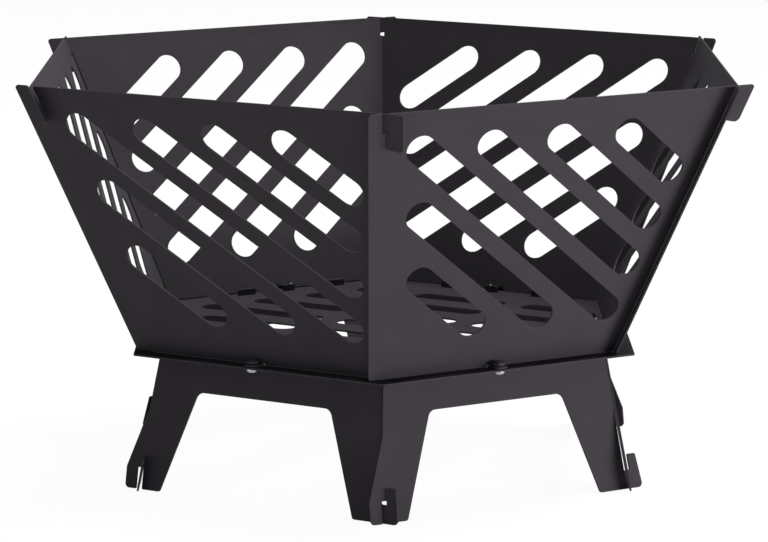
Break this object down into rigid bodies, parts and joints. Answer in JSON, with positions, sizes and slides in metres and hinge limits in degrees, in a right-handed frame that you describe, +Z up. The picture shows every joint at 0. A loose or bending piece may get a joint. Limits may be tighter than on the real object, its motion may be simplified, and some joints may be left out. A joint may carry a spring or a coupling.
{
  "type": "fire pit",
  "caption": "Hexagonal knock-down fire pit: bowl of slanting-slotted sheet panels hooked at the rim, slotted floor plate and arched leg panels, held by small screws and nuts.",
  "frame": {"origin": "centre of the hexagon, on the ground under the feet", "axes": "+Z up along the six-fold axis, -Y towards the rim corner that faces the viewer in the picture, +X to the right as seen from there"},
  "size_m": [0.4534, 0.5118, 0.262],
  "materials": {
    "bowl_coat": "satin black powder coat on sheet steel",
    "leg_coat": "satin black powder coat on sheet steel",
    "plate_coat": "satin black powder coat on sheet steel",
    "screw_zinc": "bright zinc-plated steel screw",
    "nut_black": "blackened steel nut"
  },
  "bodies": {
    "root": {"bowl_panel_1": "bowl_coat", "bowl_panel_2": "bowl_coat", "bowl_panel_3": "bowl_coat", "bowl_panel_4": "bowl_coat", "bowl_panel_5": "bowl_coat", "bowl_panel_6": "bowl_coat", "leg_panel_1": "leg_coat", "leg_panel_2": "leg_coat", "leg_panel_3": "leg_coat", "leg_panel_4": "leg_coat", "leg_panel_5": "leg_coat", "leg_panel_6": "leg_coat", "base_plate": "plate_coat", "bolt_1": "screw_zinc", "bolt_2": "screw_zinc", "bolt_3": "screw_zinc", "bolt_4": "screw_zinc", "bolt_5": "screw_zinc", "bolt_6": "screw_zinc", "nut_1": "nut_black", "nut_2": "nut_black", "nut_3": "nut_black", "nut_4": "nut_black", "nut_5": "nut_black", "nut_6": "nut_black"}
  },
  "joints": []
}
